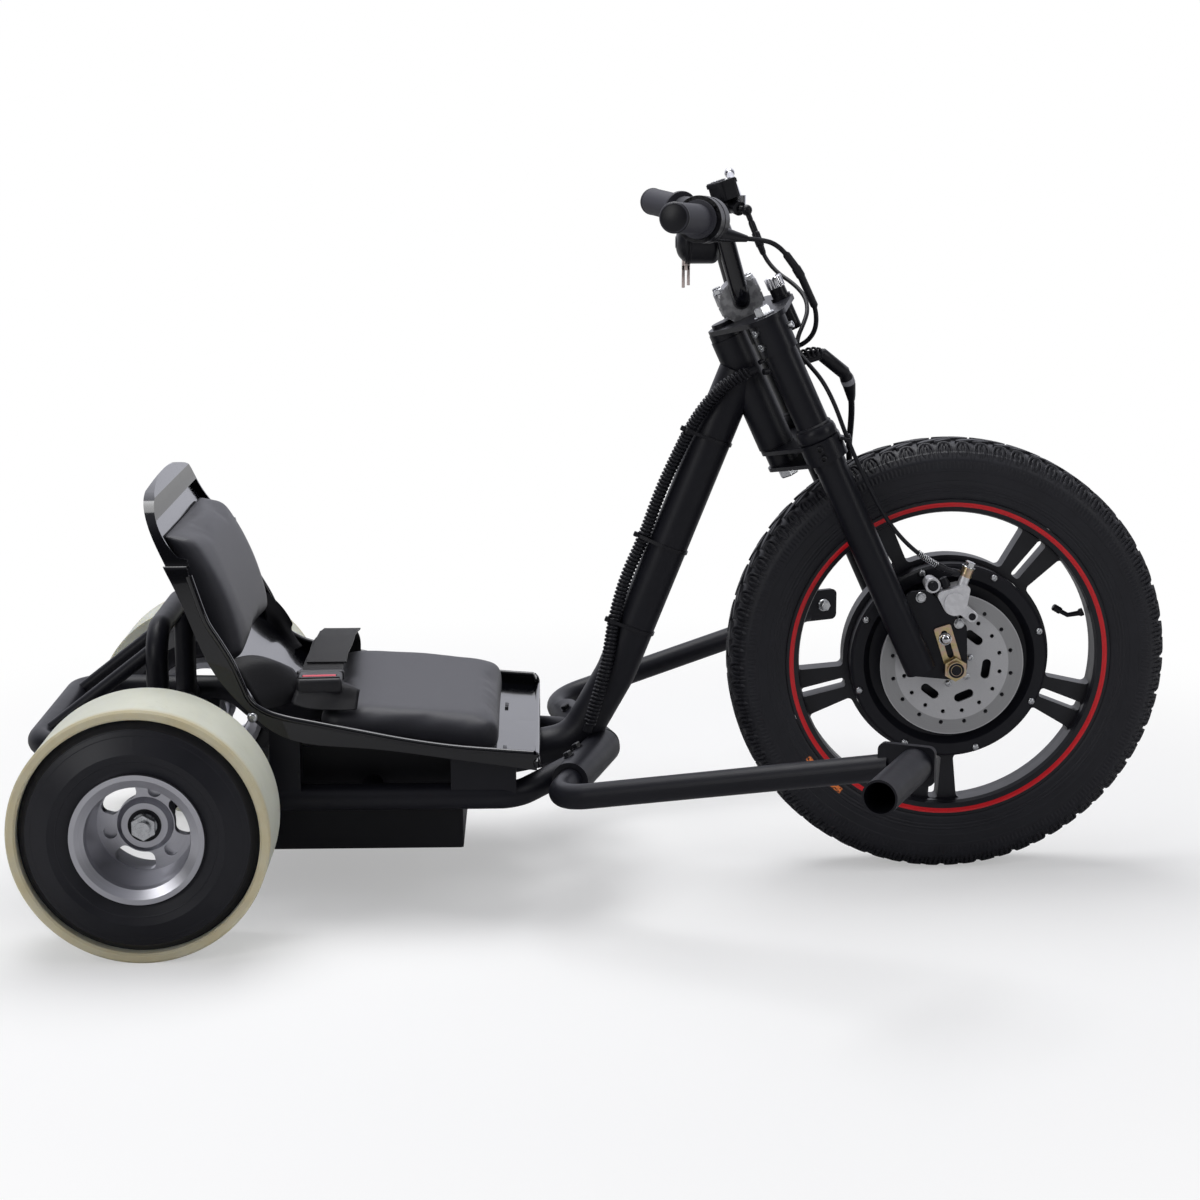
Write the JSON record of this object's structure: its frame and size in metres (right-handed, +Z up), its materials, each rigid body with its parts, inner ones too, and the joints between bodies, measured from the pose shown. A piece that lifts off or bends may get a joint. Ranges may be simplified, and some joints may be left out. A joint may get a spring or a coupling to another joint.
{
  "type": "electric drift trike",
  "caption": "Low electric drift trike with a hub-motor front wheel, bucket seat, splayed footrests and hard plastic sleeves over small slick rear tyres.",
  "frame": {"origin": "on the ground, in the middle of the vehicle's length and width", "axes": "+X forward, +Y to the rider's left, +Z up"},
  "size_m": [1.405, 1.1056, 0.875],
  "materials": {
    "frame_black": "satin black powder coat",
    "shell_gloss": "gloss black",
    "vinyl": "matte black vinyl",
    "webbing": "black woven webbing",
    "buckle": "black plastic with a red button",
    "tyre": "black rubber",
    "slick": "black rubber, smooth",
    "sleeve": "off-white plastic, a little translucent",
    "rim_black": "satin black with a red stripe",
    "motor": "satin black",
    "alloy": "machined",
    "steel": "brushed",
    "zinc": "zinc plated",
    "gold_zinc": "yellow zinc plated",
    "cast_silver": "cast",
    "grip": "grey-black ribbed rubber",
    "black_plastic": "matte",
    "cable": "satin black",
    "key_metal": "nickel plated"
  },
  "bodies": {
    "frame": {"main_tube": "frame_black", "peg_sockets": "frame_black", "footrest_arms": "frame_black", "footpegs": "frame_black", "seat_rails": "frame_black", "rear_frame": "frame_black", "rear_axle": "zinc", "battery_box": "frame_black", "seat_shell": "shell_gloss", "seat_cushion": "vinyl", "back_cushion": "vinyl", "belt_strap": "webbing", "belt_buckle": "buckle", "wiring_harness": "cable"},
    "steering": {"top_plate": "frame_black", "lower_crown": "frame_black", "fork_upper_tubes": "frame_black", "fork_lower_legs": "frame_black", "axle_brackets": "frame_black", "axle_tabs": "gold_zinc", "front_axle": "gold_zinc", "handlebar": "frame_black", "bar_clamp": "cast_silver", "grip_left": "grip", "twist_grip": "grip", "throttle_housing": "black_plastic", "brake_master": "frame_black", "brake_lever": "alloy", "gauge_switch": "black_plastic", "key": "key_metal", "lock_barrel": "black_plastic", "brake_caliper": "cast_silver", "brake_hose": "cable", "throttle_cable": "cable", "motor_cable": "cable"},
    "front_wheel": {"front_tyre": "tyre", "front_rim": "rim_black", "hub_motor": "motor", "brake_disc": "steel"},
    "rear_wheel_left": {"rear_rim_left": "alloy", "rear_tyre_left": "slick", "drift_sleeve_left": "sleeve"},
    "rear_wheel_right": {"rear_rim_right": "alloy", "rear_tyre_right": "slick", "drift_sleeve_right": "sleeve"}
  },
  "joints": [
    {"name": "steering_turn", "type": "hinge", "parent": "frame", "child": "steering", "pos_m": [0.1814, 0, 0.6101], "axis": [-0.4147, 0, 0.91], "range_deg": [-40, 40]},
    {"name": "front_wheel_spin", "type": "hinge", "parent": "steering", "child": "front_wheel", "pos_m": [0.4275, 0, 0.275], "axis": [0, 1, 0], "continuous": true},
    {"name": "rear_left_spin", "type": "hinge", "parent": "frame", "child": "rear_wheel_left", "pos_m": [-0.5365, 0.2845, 0.1485], "axis": [0, 1, 0], "continuous": true},
    {"name": "rear_right_spin", "type": "hinge", "parent": "frame", "child": "rear_wheel_right", "pos_m": [-0.5365, -0.2845, 0.1485], "axis": [0, 1, 0], "continuous": true}
  ]
}
